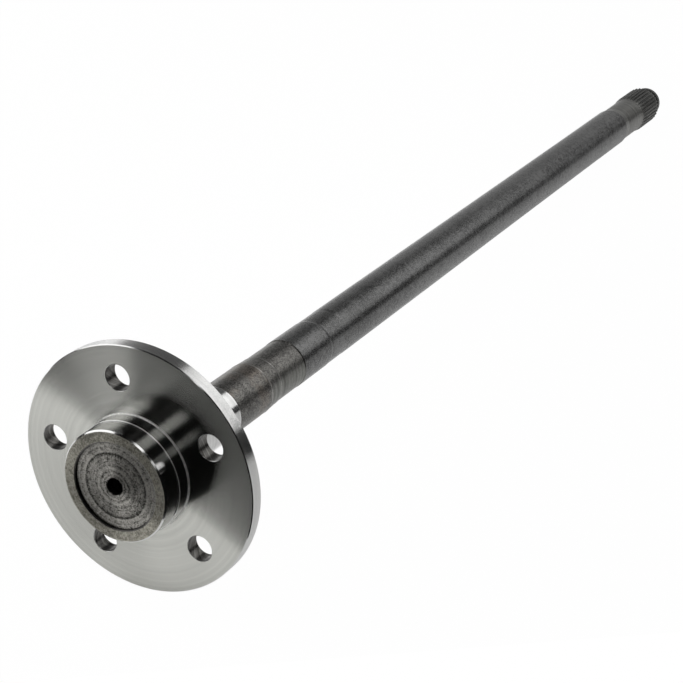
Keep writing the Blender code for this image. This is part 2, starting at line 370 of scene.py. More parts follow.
# %% [markdown]
# ## The tooth outline
#
# Thirty-three teeth stand around the end. Each ring of the mesh has twelve points to a tooth: one on
# the crest, its two corners, three on each flank and three in the root. The flanks bulge a little, as
# an involute does.

# %% Angles and radii of one tooth
TOOTH_COUNT = 33
TOOTH_ROOT = 16.0
TOOTH_PITCH = 360.0 / TOOTH_COUNT
CREST_HALF = 1.66
ROOT_HALF = 4.38
FLANK_BULGE = 0.10
FLANK_PARTS = 4


def tooth_points():
    """(angle from the tooth's middle, outline radius) for the points of one tooth, in degrees and mm."""
    flank = []
    for part in range(1, FLANK_PARTS):
        share = part / FLANK_PARTS
        angle = CREST_HALF + (ROOT_HALF - CREST_HALF) * share
        bulge = FLANK_BULGE * math.sin(math.pi * share)
        flank.append((angle, TOOTH_TIP - (TOOTH_TIP - TOOTH_ROOT) * share + bulge))
    half = [(CREST_HALF, TOOTH_TIP)] + flank + [(ROOT_HALF, TOOTH_ROOT)]
    other_half = [(-angle, radius) for angle, radius in reversed(half)]
    return [(-TOOTH_PITCH / 2, TOOTH_ROOT)] + other_half + [(0.0, TOOTH_TIP)] + half


tooth_ring = []
for tooth in range(TOOTH_COUNT):
    for offset, outline in tooth_points():
        tooth_ring.append((math.radians(tooth * TOOTH_PITCH + offset), outline))
print("Points in a ring:", len(tooth_ring))

# %% [markdown]
# ## Rings and bands
#
# A ring's radius at a point is the smaller of the turned profile and the tooth outline. This one rule
# makes the teeth, their run-out in the hollow shoulder and the chamfer at their end, where a Boolean
# would need thirty-three cutters. Neighbouring rings are joined with quads, and the two ends close on a
# point of the axis.

# %% Helpers that make rings and join them
GAP_START = 814.0
ROOT_MARGIN = 0.06


def ring_radius(station, radius, outline):
    """Radius of one point of a ring, in mm."""
    if GAP_START < station <= SPLINE_END and radius > TOOTH_ROOT - ROOT_MARGIN:
        return min(radius, outline)
    return radius


def add_ring(body, station, radius):
    """The points of the profile's turn at a station, or one point where the radius is nothing."""
    if radius == 0.0:
        return [body.verts.new((0.0, 0.0, -station * MM))]
    ring = []
    for angle, outline in tooth_ring:
        r = ring_radius(station, radius, outline) * MM
        ring.append(body.verts.new((r * math.cos(angle), r * math.sin(angle), -station * MM)))
    return ring


def join_rings(body, near, far, finish):
    """A band of faces between two rings, with its finish. Either ring can be one point."""
    count = max(len(near), len(far))
    for i in range(count):
        j = (i + 1) % count
        if len(near) == 1:
            corners = (near[0], far[i], far[j])
        elif len(far) == 1:
            corners = (near[i], far[0], near[j])
        else:
            corners = (near[i], far[i], far[j], near[j])
        face = body.faces.new(corners)
        face.material_index = FINISH_NUMBER[finish]
        face.smooth = True


def mesh_from(work, name):
    """The finished bmesh as a mesh of that name."""
    mesh = bpy.data.meshes.new(name)
    work.to_mesh(mesh)
    work.free()
    return mesh


def in_scene(name, data):
    """A new object that carries the data, linked to the scene."""
    obj = bpy.data.objects.new(name, data)
    bpy.context.scene.collection.objects.link(obj)
    return obj


print("Teeth are cut from station", GAP_START, "to", SPLINE_END)

# %% [markdown]
# ## Turning the profile into a mesh
#
# The shaft is built standing on its axis, with its stations down the Z axis. It stays that way until the
# holes are drilled and the corners are marked, because both are easier on a straight part.

# %% Build the turned body
def turned_body(name):
    """The whole shaft as one mesh along -Z, each band of faces with its finish."""
    body = bmesh.new()
    rings = [add_ring(body, station, radius) for station, radius, _, _ in profile]
    for row, (near, far) in enumerate(zip(rings, rings[1:])):
        join_rings(body, near, far, profile[row][2])
    bmesh.ops.recalc_face_normals(body, faces=body.faces)
    return in_scene(name, mesh_from(body, name))


shaft = turned_body("axle_shaft_steel")
print("Turned body:", len(shaft.data.vertices), "points,", len(shaft.data.polygons), "faces")

# %% [markdown]
# ## The drills
#
# Five holes take the wheel studs. A drill with a countersink at each end is turned for each hole, and
# all five are one mesh. Its faces bring the finishes of the hole: the drilled walls get a very dark
# colour, painted shade for the inside of the hole, and the countersinks are as bright as the flange's back.

# %% Make the five drills
DRILL_SIDES = 96
DRILL_RADIUS = 8.0
FLARE_RADIUS = 9.35
# The drilled wall takes the bores' painted shade.
drill_rows = [
    (-1.0, FLARE_RADIUS, "flange_back"),
    (0.35, DRILL_RADIUS, "bore_painted_shade"),
    (9.05, DRILL_RADIUS, "flange_back"),
    (10.4, FLARE_RADIUS, "flange_back"),
]


def drill_ring(drills, centre, station, radius):
    """A round ring of points about a hole's centre."""
    ring = []
    for side in range(DRILL_SIDES):
        angle = math.tau * side / DRILL_SIDES
        around = Vector((math.cos(angle), math.sin(angle), 0.0)) * radius * MM
        ring.append(drills.verts.new(centre + around - Vector((0.0, 0.0, station * MM))))
    return ring


def drill_mesh(name):
    """The closed drills on the stud circle."""
    drills = bmesh.new()
    for index in range(STUD_COUNT):
        place = math.radians(FIRST_STUD + STUD_SPACING * index)
        centre = Vector((math.cos(place), math.sin(place), 0.0)) * STUD_CIRCLE_RADIUS * MM
        rings = [drill_ring(drills, centre, station, radius) for station, radius, _ in drill_rows]
        for row, (near, far) in enumerate(zip(rings, rings[1:])):
            join_rings(drills, near, far, drill_rows[row][2])
        drills.faces.new(rings[0])
        drills.faces.new(list(reversed(rings[-1])))
    bmesh.ops.recalc_face_normals(drills, faces=drills.faces)
    return mesh_from(drills, name)


drill = in_scene("stud_drill", drill_mesh("stud_drill"))
print("Drills:", len(drill.data.polygons), "faces")

# %% [markdown]
# ## Drilling the flange
#
# One exact Boolean takes all five drills out of the flange. Both meshes first get the same list of
# material slots. The Boolean then keeps each face's slot number, so the cut faces carry the drill's
# finishes without any search for them afterwards.

# %% Cut the stud holes
for finish in FINISHES:
    shaft.data.materials.append(bpy.data.materials.new(finish))
for material in shaft.data.materials:
    drill.data.materials.append(material)
cut = shaft.modifiers.new("stud holes", "BOOLEAN")
cut.operation = "DIFFERENCE"
cut.solver = "EXACT"
cut.material_mode = "INDEX"
cut.object = drill
bpy.context.view_layer.update()
evaluated = shaft.evaluated_get(bpy.context.evaluated_depsgraph_get())
drilled = bpy.data.meshes.new_from_object(evaluated)
shaft.modifiers.remove(cut)
shaft.data = drilled
bpy.data.objects.remove(drill, do_unlink=True)
print("Drilled body:", len(drilled.vertices), "points,", len(drilled.polygons), "faces")

# %% [markdown]
# ## Sharp and smooth edges
#
# Where the angle between two faces is large the edge is a real corner. The turned bands meet at very
# flat angles that still have to stay crisp, so every corner row of the profile is marked as well. A
# cylinder then shades straight right up to its chamfer, while fillets stay smooth. Last, the finished
# mesh is laid down in its pose.

# %% Mark the corners and lay the shaft down
CORNER_ANGLE = math.radians(24.0)
corner_rows = {(round(station, 3), round(radius, 3)) for station, radius, _, soft in profile if not soft}


def row_of(vertex):
    """The station and radius of a point, in mm, as the corner rows have them."""
    radius = math.hypot(vertex.co.x, vertex.co.y) / MM
    return (round(-vertex.co.z / MM, 3), round(radius, 3))


def mark_corners(mesh):
    """Sharp edges at large angles and along the corner rows. Returns how many there are."""
    work = bmesh.new()
    work.from_mesh(mesh)
    sharp = 0
    for edge in work.edges:
        corner = len(edge.link_faces) == 2 and edge.calc_face_angle(0.0) > CORNER_ANGLE
        if not corner:
            ends = [row_of(vertex) for vertex in edge.verts]
            corner = ends[0] == ends[1] and ends[0] in corner_rows
        edge.smooth = not corner
        sharp += corner
    for face in work.faces:
        face.smooth = True
    work.to_mesh(mesh)
    work.free()
    return sharp


print("Sharp edges:", mark_corners(shaft.data))
shaft.data.transform(lying)

# %% [markdown]
# ## Small helpers for nodes
#
# Every finish below is built from the same few nodes: a number that is set or linked, a sum or product,
# and noise. What several finishes share is a node group with named sockets, so one group can be opened
# and changed for all of them.

# %% Helpers for nodes and groups
def new_group(name, inputs, outputs):
    """An empty shader node group with its sockets. Inputs are (name, kind, default)."""
    group = bpy.data.node_groups.new(name, "ShaderNodeTree")
    for label, kind, default in inputs:
        socket = group.interface.new_socket(label, in_out="INPUT", socket_type=kind)
        if default is not None:
            socket.default_value = default
    for label, kind in outputs:
        group.interface.new_socket(label, in_out="OUTPUT", socket_type=kind)
    start = group.nodes.new("NodeGroupInput")
    end = group.nodes.new("NodeGroupOutput")
    return group, start, end


def feed(tree, value, socket):
    """Set a socket to a number, or link it to another node's output."""
    if isinstance(value, (int, float)):
        socket.default_value = value
    else:
        tree.links.new(value, socket)


def math_node(tree, operation, first, second=None):
    """A Math node with its inputs linked or set."""
    node = tree.nodes.new("ShaderNodeMath")
    node.operation = operation
    feed(tree, first, node.inputs[0])
    if second is not None:
        feed(tree, second, node.inputs[1])
    return node.outputs["Value"]


def noise_along(tree, distance, scale, detail):
    """Noise that changes along one distance only."""
    node = tree.nodes.new("ShaderNodeTexNoise")
    node.noise_dimensions = "1D"
    node.inputs["Detail"].default_value = detail
    node.inputs["Roughness"].default_value = 0.6
    feed(tree, scale, node.inputs["Scale"])
    tree.links.new(distance, node.inputs["W"])
    return node.outputs["Fac"]


def noise_around(tree, position, scale, detail, roughness=0.5):
    """Noise that changes in every direction."""
    node = tree.nodes.new("ShaderNodeTexNoise")
    node.inputs["Detail"].default_value = detail
    node.inputs["Roughness"].default_value = roughness
    feed(tree, scale, node.inputs["Scale"])
    tree.links.new(position, node.inputs["Vector"])
    return node.outputs["Fac"]


# %% [markdown]
# ## The shaft's own coordinates
#
# Turning marks run about the shaft's axis, and that axis slopes on the table. This group undoes the
# pose: it takes a point where it lies and gives the same point of the straight, upright shaft. A mesh
# attribute could hold those coordinates, but a Mapping node needs nothing stored.

# %% Group: the shaft's own coordinates
def make_own_coordinates_group():
    """Lying position in, position along the straight shaft out, with the axis on Z."""
    group, start, end = new_group(
        "shaft coordinates",
        [("Position", "NodeSocketVector", None)],
        [("Position", "NodeSocketVector")],
    )
    back = lying.inverted()
    stand = group.nodes.new("ShaderNodeMapping")
    stand.inputs["Rotation"].default_value = back.to_euler()
    stand.inputs["Location"].default_value = back.to_translation()
    group.links.new(start.outputs["Position"], stand.inputs["Vector"])
    group.links.new(stand.outputs["Vector"], end.inputs["Position"])
    return group


own_coordinates = make_own_coordinates_group()
print("Group:", own_coordinates.name)

# %% [markdown]
# ## Turning marks
#
# A lathe leaves fine grooves that follow the profile. This group turns the distance along the profile
# into groove heights and into a slow change of tone. On a flat face that distance is the radius, on a
# cylinder it is the station, and their sum serves both. The noise has one dimension only, so each mark
# runs all the way round.

# %% Group: turning marks
METRES_TO_MM = 1000.0
SLOW_TONE = 0.35


def make_turning_group():
    """Groove height, slow tone and the distance along the profile in mm."""
    group, start, end = new_group(
        "turning marks",
        [("Position", "NodeSocketVector", None), ("Grooves per mm", "NodeSocketFloat", 4.0)],
        [("Height", "NodeSocketFloat"), ("Tone", "NodeSocketFloat"), ("Along", "NodeSocketFloat")],
    )
    split = group.nodes.new("ShaderNodeSeparateXYZ")
    group.links.new(start.outputs["Position"], split.inputs[0])
    square_x = math_node(group, "MULTIPLY", split.outputs["X"], split.outputs["X"])
    square_y = math_node(group, "MULTIPLY", split.outputs["Y"], split.outputs["Y"])
    radius = math_node(group, "SQRT", math_node(group, "ADD", square_x, square_y))
    distance = math_node(group, "SUBTRACT", radius, split.outputs["Z"])
    along = math_node(group, "MULTIPLY", distance, METRES_TO_MM)
    fine = noise_along(group, along, start.outputs["Grooves per mm"], 2.0)
    slow = noise_along(group, along, SLOW_TONE, 3.0)
    group.links.new(fine, end.inputs["Height"])
    group.links.new(slow, end.inputs["Tone"])
    group.links.new(along, end.inputs["Along"])
    return group


turning_marks = make_turning_group()
print("Group:", turning_marks.name)

# %% [markdown]
# ## Scale and speckle
#
# Forged steel is covered with a skin of scale and oil. The grain has three sizes: a fine speckle, a
# coarser mottle and soft clouds. All are noise in the shaft's own space, so they wrap around it without
# a seam, where a flat texture would need an unwrapping.

# %% Group: scale and speckle
GRAIN_SIZES = (("Speckle", 1100.0, 2.0), ("Mottle", 330.0, 4.0), ("Clouds", 38.0, 4.0))
GRAIN_ROUGHNESS = 0.62


def make_speckle_group():
    """Three sizes of grain, each from 0 to 1."""
    group, start, end = new_group(
        "scale speckle",
        [("Position", "NodeSocketVector", None)],
        [(label, "NodeSocketFloat") for label, _, _ in GRAIN_SIZES],
    )
    for label, scale, detail in GRAIN_SIZES:
        grain = noise_around(group, start.outputs["Position"], scale, detail, GRAIN_ROUGHNESS)
        group.links.new(grain, end.inputs[label])
    return group


scale_speckle = make_speckle_group()
print("Group:", scale_speckle.name)

# %% [markdown]
# ## The side that the lathe reached
#
# A forging is never quite straight, so a light cut takes the scale off one half of a band only, with a
# ragged border. This group gives 1 on the cleaned half and 0 on the other. It measures how far a point
# lies towards the cleaned side and adds noise to that distance.

# %% Group: the cleaned side
CLEANED_SIDE = math.radians(-135.0)
CLEANED_FROM = 9.0
RAGGED_REACH = 9.0
RAGGED_SCALE = 160.0
BORDER_SOFTNESS = 0.5


def make_cleaned_group():
    """A mask of the cleaned half. CLEANED_FROM and RAGGED_REACH are in mm."""
    group, start, end = new_group(
        "cleaned side",
        [("Position", "NodeSocketVector", None)],
        [("Cleaned", "NodeSocketFloat")],
    )
    split = group.nodes.new("ShaderNodeSeparateXYZ")
    group.links.new(start.outputs["Position"], split.inputs[0])
    across = math_node(group, "MULTIPLY", split.outputs["X"], math.cos(CLEANED_SIDE) * METRES_TO_MM)
    beside = math_node(group, "MULTIPLY", split.outputs["Y"], math.sin(CLEANED_SIDE) * METRES_TO_MM)
    ragged = noise_around(group, start.outputs["Position"], RAGGED_SCALE, 3.0)
    reach = math_node(group, "ADD", across, beside)
    reach = math_node(group, "ADD", reach, math_node(group, "MULTIPLY", ragged, RAGGED_REACH))
    reach = math_node(group, "SUBTRACT", reach, CLEANED_FROM)
    clamp = group.nodes.new("ShaderNodeClamp")
    group.links.new(math_node(group, "MULTIPLY", reach, BORDER_SOFTNESS), clamp.inputs["Value"])
    group.links.new(clamp.outputs["Result"], end.inputs["Cleaned"])
    return group


cleaned_side = make_cleaned_group()
print("Group:", cleaned_side.name)

# %% [markdown]
# ## Mixing tones and colours
#
# The recipe for steel needs four more steps: placing a group on the shaft, blending two values,
# stretching a narrow range of noise to a full one, and turning a value into a colour between a dark and
# a light one.

# %% Helpers for tones and colours
def place_group(tree, group, position):
    """A group node that works at a position."""
    node = tree.nodes.new("ShaderNodeGroup")
    node.node_tree = group
    tree.links.new(position, node.inputs["Position"])
    return node


def blend(tree, first, second, second_share):
    """The second value's share and the rest of the first, added."""
    kept = math_node(tree, "MULTIPLY", first, 1.0 - second_share)
    return math_node(tree, "ADD", kept, math_node(tree, "MULTIPLY", second, second_share))


def map_range(tree, value, low, high, out_low, out_high):
    """The value moved from one range to another, and held at its ends."""
    node = tree.nodes.new("ShaderNodeMapRange")
    tree.links.new(value, node.inputs["Value"])
    for label, number in (("From Min", low), ("From Max", high), ("To Min", out_low), ("To Max", out_high)):
        node.inputs[label].default_value = number
    return node.outputs["Result"]


def mix_colour(tree, share, dark, light, way="MIX"):
    """A colour between two, each of which is a triple or another node's output."""
    node = tree.nodes.new("ShaderNodeMix")
    node.data_type = "RGBA"
    node.blend_type = way
    tree.links.new(share, node.inputs["Factor"])
    for socket, colour in ((node.inputs["A"], dark), (node.inputs["B"], light)):
        if isinstance(colour, tuple):
            socket.default_value = (*colour, 1.0)
        else:
            tree.links.new(colour, socket)
    return node.outputs["Result"]


# %% [markdown]
# ## The brushed reflection
#
# Turned steel stretches its highlights across the grooves. The Principled shader does this with its
# Anisotropic value and a tangent, the direction of the grooves. They run around the axis, so the
# tangent is the axis crossed with the arm from the wheel face's centre to the point.

# %% Helper for the brushed reflection
QUARTER_TURN = 0.25


def brush_around_axis(tree, shader, position, spread):
    """Spread the reflection across grooves that run around the shaft."""
    shader.inputs["Anisotropic"].default_value = spread
    shader.inputs["Anisotropic Rotation"].default_value = QUARTER_TURN
    arm = tree.nodes.new("ShaderNodeVectorMath")
    arm.operation = "SUBTRACT"
    tree.links.new(position, arm.inputs[0])
    arm.inputs[1].default_value = face_centre
    around = tree.nodes.new("ShaderNodeVectorMath")
    around.operation = "CROSS_PRODUCT"
    around.inputs[0].default_value = shaft_axis
    tree.links.new(arm.outputs["Vector"], around.inputs[1])
    tree.links.new(around.outputs["Vector"], shader.inputs["Tangent"])


print("Shaft axis:", [round(v, 4) for v in shaft_axis])

# %% [markdown]
# ## One recipe for every steel finish
#
# All the finishes are the same steel, so they share one recipe: a base colour between a dark and a
# light tone, a roughness that varies around a value, and a bump from grooves and speckle. Three extras
# serve the long shaft and its neck. A raw finish shows untouched scale on the half that the lathe
# missed. A rusted one is tinted in its clouds. A dulled one grows rougher along the shaft.

# %% The recipe
MICRON = 1e-6
MOTTLE_SHARE = 0.38
CLOUD_SHARE = 0.2
GRAIN_RANGE = (0.35, 0.65)
RAW_RANGE = (0.44, 0.56)
RUST_RANGE = (0.47, 0.58)


def steel_finish(name, dark, light, roughness, spread, grooves, groove_depth, speckle_depth, metal=1.0,
                 speckle_share=0.5, contrast=0.25, rough_vary=0.06, raw=None, dulled=None, rusted=None):
    """A finish in the slot of that name.

    dark and light: base colours. spread: how far the reflection is brushed. grooves: how many to a
    millimetre. Depths are in micrometres. speckle_share: how much of the tone comes from the grain and
    not from the turning. contrast: the range of noise between dark and light, so less is harder.
    raw: the two colours of untouched scale. dulled: first and last place in mm and the added roughness.
    """
    material = bpy.data.materials[name]
    material.use_nodes = True
    tree = material.node_tree
    shader = tree.nodes["Principled BSDF"]
    place = tree.nodes.new("ShaderNodeTexCoord")
    own = place_group(tree, own_coordinates, place.outputs["Object"]).outputs["Position"]
    turning = place_group(tree, turning_marks, own)
    turning.inputs["Grooves per mm"].default_value = grooves
    speckle = place_group(tree, scale_speckle, own)
    grain = blend(tree, speckle.outputs["Speckle"], speckle.outputs["Mottle"], MOTTLE_SHARE)
    grain = blend(tree, grain, speckle.outputs["Clouds"], CLOUD_SHARE)

    tone = blend(tree, turning.outputs["Tone"], grain, speckle_share)
    share = map_range(tree, tone, 0.5 - contrast / 2, 0.5 + contrast / 2, 0.0, 1.0)
    colour = mix_colour(tree, share, dark, light)
    rough = map_range(tree, grain, *GRAIN_RANGE, roughness - rough_vary, roughness + rough_vary)
    height = math_node(tree, "MULTIPLY", turning.outputs["Height"], groove_depth * MICRON)
    if rusted:
        rust = map_range(tree, speckle.outputs["Clouds"], *RUST_RANGE, 0.0, 1.0)
        colour = mix_colour(tree, rust, colour, rusted, "MULTIPLY")
    if raw:
        cleaned = place_group(tree, cleaned_side, own).outputs["Cleaned"]
        missed = mix_colour(tree, map_range(tree, grain, *RAW_RANGE, 0.0, 1.0), *raw)
        colour = mix_colour(tree, cleaned, missed, colour)
        height = math_node(tree, "MULTIPLY", height, cleaned)
    if dulled:
        start, end, amount = dulled
        duller = map_range(tree, turning.outputs["Along"], start, end, 0.0, amount)
        rough = math_node(tree, "ADD", rough, duller)
    if spread > 0.0:
        brush_around_axis(tree, shader, place.outputs["Object"], spread)

    shader.inputs["Metallic"].default_value = metal
    tree.links.new(colour, shader.inputs["Base Color"])
    tree.links.new(rough, shader.inputs["Roughness"])
    pits = math_node(tree, "MULTIPLY", speckle.outputs["Speckle"], speckle_depth * MICRON)
    bump = tree.nodes.new("ShaderNodeBump")
    bump.inputs["Distance"].default_value = 1.0
    tree.links.new(math_node(tree, "ADD", height, pits), bump.inputs["Height"])
    tree.links.new(bump.outputs["Normal"], shader.inputs["Normal"])
    print("Finish:", name)


# %% [markdown]
# ## The bright finishes
#
# The flange's face has a fine and very even turning. Its reflection is brushed the most, which gives it
# the fan of light and dark around the boss. The sides of the boss, the rim and the ground journal are
# smoother and mirror the room more sharply. Chamfers are a little lighter. The edge of the step and the
# round at the boss's root are blunt and less like a mirror, and their near-white colour is a painted
# highlight, so that they show as thin light lines from any side. The flange's back is rougher, with
# deeper grooves.

# %% Finish the flange, the boss's sides and the journal
steel_finish(
    "turned_face", (0.555, 0.558, 0.525), (0.615, 0.618, 0.582), roughness=0.23, spread=1.0, grooves=6.0,
    groove_depth=0.8, speckle_depth=0.0, speckle_share=0.15, contrast=0.35, rough_vary=0.01,
)
steel_finish(
    "turned_side", (0.56, 0.56, 0.55), (0.62, 0.62, 0.61), roughness=0.13, spread=0.9, grooves=5.0,
    groove_depth=1.5, speckle_depth=0.3, speckle_share=0.1,
)
steel_finish(
    "rim", (0.60, 0.60, 0.59), (0.66, 0.66, 0.65), roughness=0.20, spread=0.8, grooves=5.0,
    groove_depth=1.5, speckle_depth=0.3, speckle_share=0.2,
)
steel_finish(
    "bright_edge", (0.66, 0.66, 0.65), (0.74, 0.74, 0.73), roughness=0.15, spread=0.0, grooves=5.0,
    groove_depth=0.5, speckle_depth=0.2,
)
# Painted highlight: a near-white, half-metal colour that draws the step's edge and the root's round as thin
# light lines.
steel_finish(
    "soft_edge", (0.84, 0.84, 0.81), (0.94, 0.94, 0.91), roughness=0.26, spread=0.0, grooves=3.0,
    groove_depth=1.0, speckle_depth=1.0, metal=0.4,
)
steel_finish(
    "flange_back", (0.40, 0.40, 0.39), (0.52, 0.52, 0.51), roughness=0.34, spread=0.5, grooves=3.0,
    groove_depth=5.0, speckle_depth=1.0, speckle_share=0.3,
)
steel_finish(
    "journal", (0.60, 0.60, 0.59), (0.70, 0.70, 0.69), roughness=0.16, spread=0.4, grooves=8.0,
    groove_depth=0.8, speckle_depth=0.2, speckle_share=0.2,
)

# %% [markdown]
# ## The end of the boss
#
# The ring at the boss's end and the recess inside it are darker than the face, with a strong speckle and
# a slightly olive tone. The recess has the deepest grooves of all. Bores are darker still: their very
# dark colour is painted shade for the inside of holes, the lathe centres and the recess wall.

# %% Finish the boss's end, its recess and the bores
steel_finish(
    "boss_end", (0.17, 0.164, 0.139), (0.54, 0.521, 0.450), roughness=0.36, spread=0.9, grooves=4.0,
    groove_depth=4.0, speckle_depth=4.0, speckle_share=0.8, contrast=0.15,
)
steel_finish(
    "boss_recess", (0.03, 0.029, 0.026), (0.50, 0.485, 0.45), roughness=0.36, spread=0.9, grooves=1.5,
    groove_depth=26.0, speckle_depth=22.0, speckle_share=0.65, contrast=0.14,
)
# Painted shade: a very dark colour for the insides of the bores, the lathe centres and the recess wall.
steel_finish(
    "bore_painted_shade", (0.05, 0.048, 0.044), (0.20, 0.195, 0.185), roughness=0.33, spread=0.5, grooves=3.0,
    groove_depth=12.0, speckle_depth=8.0, speckle_share=0.4, contrast=0.16,
)

# %% [markdown]
# ## The neck
#
# The raw neck is scale with a warm tint in places. The band after it was cleaned on one side only, so it
# takes the raw colours on the other. The two ridges stand proud and have been rubbed lighter.

# %% Finish the neck
RAW_SCALE = ((0.080, 0.078, 0.073), (0.25, 0.243, 0.228))
RUST_TINT = (1.0, 0.92, 0.86)

steel_finish(
    "neck_scale", *RAW_SCALE, roughness=0.33, spread=0.0, grooves=2.0, groove_depth=3.0,
    speckle_depth=36.0, metal=0.85, speckle_share=0.9, contrast=0.13, rusted=RUST_TINT,
)
steel_finish(
    "worn_edge", (0.30, 0.295, 0.28), (0.50, 0.49, 0.47), roughness=0.34, spread=0.0, grooves=3.0,
    groove_depth=1.0, speckle_depth=10.0, metal=0.9, speckle_share=0.8, contrast=0.15,
)
steel_finish(
    "neck_turned", (0.12, 0.121, 0.110), (0.24, 0.242, 0.224), roughness=0.33, spread=0.3, grooves=3.4,
    groove_depth=11.0, speckle_depth=12.0, metal=0.85, speckle_share=0.5, contrast=0.14, raw=RAW_SCALE,
)

# %% [markdown]
# ## The long shaft and the splines
#
# The long shaft is black and grainy, and it dulls a little towards its far end. The turned bands before
# it share its grain. The relief is plainer, and the teeth are the darkest, since oil stays in the gaps.

# %% Finish the bands, the long shaft, the relief and the splines
SHAFT_DULLING = (450.0, 660.0, 0.03)

steel_finish(
    "band_turned", (0.09, 0.09, 0.089), (0.20, 0.20, 0.198), roughness=0.28, spread=0.2, grooves=3.0,
    groove_depth=2.0, speckle_depth=34.0, metal=0.85, speckle_share=0.95, contrast=0.12,
)
steel_finish(
    "shaft_black", (0.09, 0.09, 0.09), (0.205, 0.205, 0.203), roughness=0.265, spread=0.0, grooves=3.0,
    groove_depth=1.0, speckle_depth=26.0, metal=0.85, speckle_share=0.92, contrast=0.12,
    dulled=SHAFT_DULLING,
)
steel_finish(
    "relief", (0.14, 0.139, 0.131), (0.22, 0.218, 0.205), roughness=0.33, spread=0.2, grooves=3.0,
    groove_depth=1.5, speckle_depth=6.0, metal=0.85, speckle_share=0.6, contrast=0.15,
)
steel_finish(
    "splines", (0.045, 0.045, 0.043), (0.13, 0.13, 0.122), roughness=0.40, spread=0.0, grooves=3.0,
    groove_depth=1.0, speckle_depth=10.0, metal=0.6, speckle_share=0.8, contrast=0.15,
)

# %% [markdown]
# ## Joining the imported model
#
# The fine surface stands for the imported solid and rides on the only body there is.

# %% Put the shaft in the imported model's place
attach(shaft, "root")
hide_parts("axle_shaft")
print("The shaft rides on root and replaces axle_shaft")

# %% [markdown]
# ## The table's surface
#
# A photograph of bright steel is mostly a photograph of what the steel mirrors. In the flange and under
# the shaft that is a pale table. To the camera it is plain white. In the steel it is a grey sheet with a
# painted glow, though it is no lamp, and a painted shade makes it a little dimmer on the side near the
# camera. Together they set how bright the lower half of every round surface looks. Light Path tells the
# two apart.

# %% Material of the table
TABLE_GREY = 0.86
TABLE_WHITENING = 0.98
TABLE_PAINTED_GLOW = 0.31
TABLE_SHADE_RANGE = (-0.10, -0.01)
TABLE_PAINTED_SHADE = 0.80
BLACK = (0.0, 0.0, 0.0)


def table_material():
    """White to the eye, and for everything that mirrors it a sheet with a painted glow, dimmed by painted
    shade near the camera.
    """
    material = bpy.data.materials.new("pale_table")
    material.use_nodes = True
    tree = material.node_tree
    shader = tree.nodes["Principled BSDF"]
    place = tree.nodes.new("ShaderNodeTexCoord")
    split = tree.nodes.new("ShaderNodeSeparateXYZ")
    tree.links.new(place.outputs["Object"], split.inputs[0])
    # Painted shade: the table's colour and glow grow dimmer towards its side near the camera.
    painted_light_share = map_range(tree, split.outputs["Y"], *TABLE_SHADE_RANGE, TABLE_PAINTED_SHADE, 1.0)
    tree.links.new(mix_colour(tree, painted_light_share, BLACK, (TABLE_GREY,) * 3), shader.inputs["Base Color"])
    tree.links.new(mix_colour(tree, painted_light_share, BLACK, (1.0, 1.0, 1.0)), shader.inputs["Emission Color"])
    # Painted light: the table glows for reflections and lighting, though it is no lamp.
    shader.inputs["Emission Strength"].default_value = TABLE_PAINTED_GLOW
    shader.inputs["Roughness"].default_value = 0.9
    shader.inputs["Specular IOR Level"].default_value = 0.0
    white = tree.nodes.new("ShaderNodeEmission")
    white.inputs["Strength"].default_value = 1.0
    path = tree.nodes.new("ShaderNodeLightPath")
    chooser = tree.nodes.new("ShaderNodeMixShader")
    share = math_node(tree, "MULTIPLY", path.outputs["Is Camera Ray"], TABLE_WHITENING)
    tree.links.new(share, chooser.inputs["Fac"])
    tree.links.new(shader.outputs["BSDF"], chooser.inputs[1])
    tree.links.new(white.outputs["Emission"], chooser.inputs[2])
    tree.links.new(chooser.outputs["Shader"], tree.nodes["Material Output"].inputs["Surface"])
    return material


pale_table = table_material()
print("Material:", pale_table.name)

# %% [markdown]
# ## The table
#
# The table ends close to the flange. Its front edge runs at a slant before the wheel face, and its left
# edge turns away from there. The dark room beyond those two edges is what draws the dark wedges on the
# face. Straight corners are enough, so the table is one polygon from four points.

# %% Table
FRONT_EDGE_POINT = Vector((-0.112, 0.013, 0.0))
FRONT_EDGE_RUN = Vector((-0.573, 0.819, 0.0))
LEFT_EDGE_RUN = Vector((-0.20, 0.98, 0.0))
TABLE_INWARD = Vector((0.819, 0.573, 0.0))
TABLE_LEFT = 0.155
TABLE_RIGHT = 1.0
TABLE_DEPTH = 2.4

edge_point = face_centre + FRONT_EDGE_POINT
right_corner = edge_point - FRONT_EDGE_RUN * TABLE_RIGHT
left_corner = edge_point + FRONT_EDGE_RUN * TABLE_LEFT
corners = [
    right_corner,
    right_corner + TABLE_INWARD * TABLE_DEPTH,
    left_corner + LEFT_EDGE_RUN * TABLE_DEPTH,
    left_corner,
]
sheet = bmesh.new()
sheet.faces.new([sheet.verts.new((corner.x, corner.y, 0.0)) for corner in corners])
table = in_scene("pale_table", mesh_from(sheet, "pale_table"))
table.data.materials.append(pale_table)
print("Table corners:", [(round(c.x, 2), round(c.y, 2)) for c in corners])

# %% [markdown]
# ## The room
#
# Behind the camera and beside the table the room is nearly black. A bright room would fill every dark
# line that gives steel its look. The camera itself sees white there, like the table, so the picture's
# ground has no horizon.

